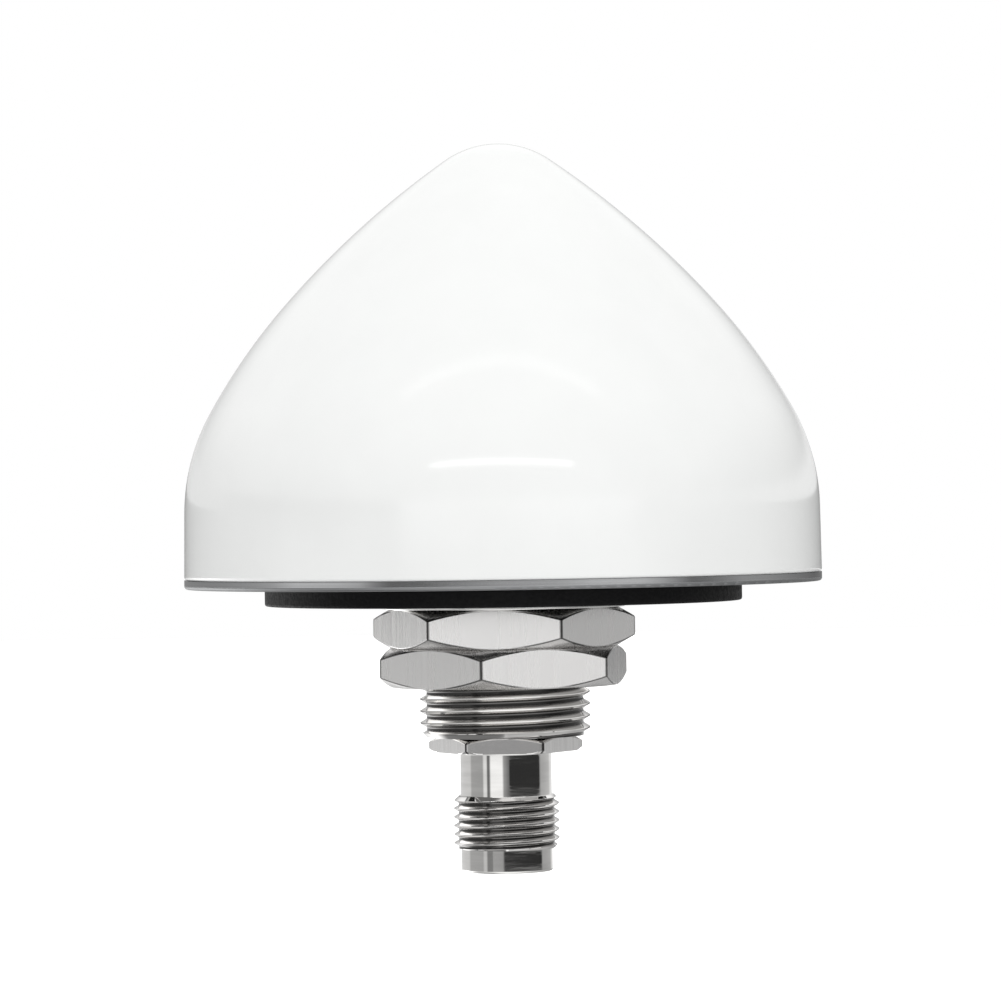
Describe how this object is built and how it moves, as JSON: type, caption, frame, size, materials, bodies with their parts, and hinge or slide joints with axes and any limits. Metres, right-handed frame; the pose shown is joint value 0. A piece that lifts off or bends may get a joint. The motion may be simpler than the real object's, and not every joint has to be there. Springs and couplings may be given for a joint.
{
  "type": "marine dome antenna",
  "caption": "Cone-shaped white dome antenna for satellite navigation on a round metal base, with a rubber gasket, a hollow threaded stub with thin hexagon nuts, and a coaxial jack below.",
  "frame": {"origin": "on the axis at the gasket's underside, the plane that seats on the deck or pole head", "axes": "+Z along the axis towards the dome's tip; the mounting stub and the coaxial jack point along -Z; +X and +Y span the seating plane"},
  "size_m": [0.067, 0.067, 0.0765],
  "materials": {
    "radome_plastic": "glossy white moulded weatherproof plastic",
    "insert_brass": "knurled brass",
    "screw_steel": "stainless steel",
    "seal_rubber": "black moulded rubber",
    "base_alloy": "machined aluminium alloy, clear anodised",
    "gasket_rubber": "matt black moulded rubber",
    "washer_steel": "stamped stainless steel",
    "nut_plating": "nickel-plated, turned and ground flats",
    "stub_plating": "bright nickel plating",
    "jack_plating": "bright nickel plating over turned brass",
    "insulator_plastic": "white fluoroplastic",
    "contact_gold": "gold plating",
    "ferrule_plating": "nickel-plated brass",
    "cable_jacket": "brown fluoroplastic jacket",
    "board_laminate": "green solder mask over glass laminate",
    "can_tinplate": "bright tinplate",
    "filter_ceramic": "ceramic package with metal lid",
    "chip_resin": "black moulded epoxy",
    "capacitor_ceramic": "fired ceramic with tinned ends",
    "patch_ceramic": "fired dielectric ceramic",
    "film_silver": "fired silver film",
    "tape_acrylic": "acrylic adhesive sheet",
    "pin_plating": "tinned brass"
  },
  "bodies": {
    "antenna_body": {"radome": "radome_plastic", "base_plate": "base_alloy", "base_gasket": "gasket_rubber", "mounting_stub": "stub_plating", "connector_body": "jack_plating", "connector_insulator": "insulator_plastic", "radome_inserts": "insert_brass", "radome_screws": "screw_steel", "radome_seal": "seal_rubber", "stub_screws": "screw_steel", "stub_seal": "seal_rubber", "connector_seal": "seal_rubber", "center_contact": "contact_gold", "cable_ferrule": "ferrule_plating", "coax_pigtail": "cable_jacket", "circuit_board": "board_laminate", "board_standoffs": "insert_brass", "board_screws": "screw_steel", "shield_can": "can_tinplate", "filter_chips": "filter_ceramic", "amplifier_chips": "chip_resin", "chip_capacitors": "capacitor_ceramic", "voltage_regulator": "chip_resin", "lower_patch": "patch_ceramic", "lower_electrode": "film_silver", "upper_patch": "patch_ceramic", "upper_electrode": "film_silver", "patch_tape": "tape_acrylic", "feed_pins": "pin_plating"},
    "washer": {"lock_washer": "washer_steel"},
    "clamp_nut": {"upper_nut": "nut_plating"},
    "locking_nut": {"jam_nut": "nut_plating"}
  },
  "joints": [
    {"name": "washer_slide", "type": "slide", "parent": "antenna_body", "child": "washer", "axis": [0, 0, -1], "range_m": [0, 0.005]},
    {"name": "upper_nut_turn", "type": "hinge", "parent": "washer", "child": "clamp_nut", "pos_m": [0, 0, -0.00255], "axis": [0, 0, -1], "range_deg": [0, 1440]},
    {"name": "jam_nut_turn", "type": "hinge", "parent": "washer", "child": "locking_nut", "pos_m": [0, 0, -0.00665], "axis": [0, 0, -1], "range_deg": [0, 1440]}
  ],
  "couplings": [
    {"joint": "upper_nut_turn", "follows": "washer_slide", "rad_per_m": 5026.5},
    {"joint": "jam_nut_turn", "follows": "washer_slide", "rad_per_m": 5026.5}
  ]
}
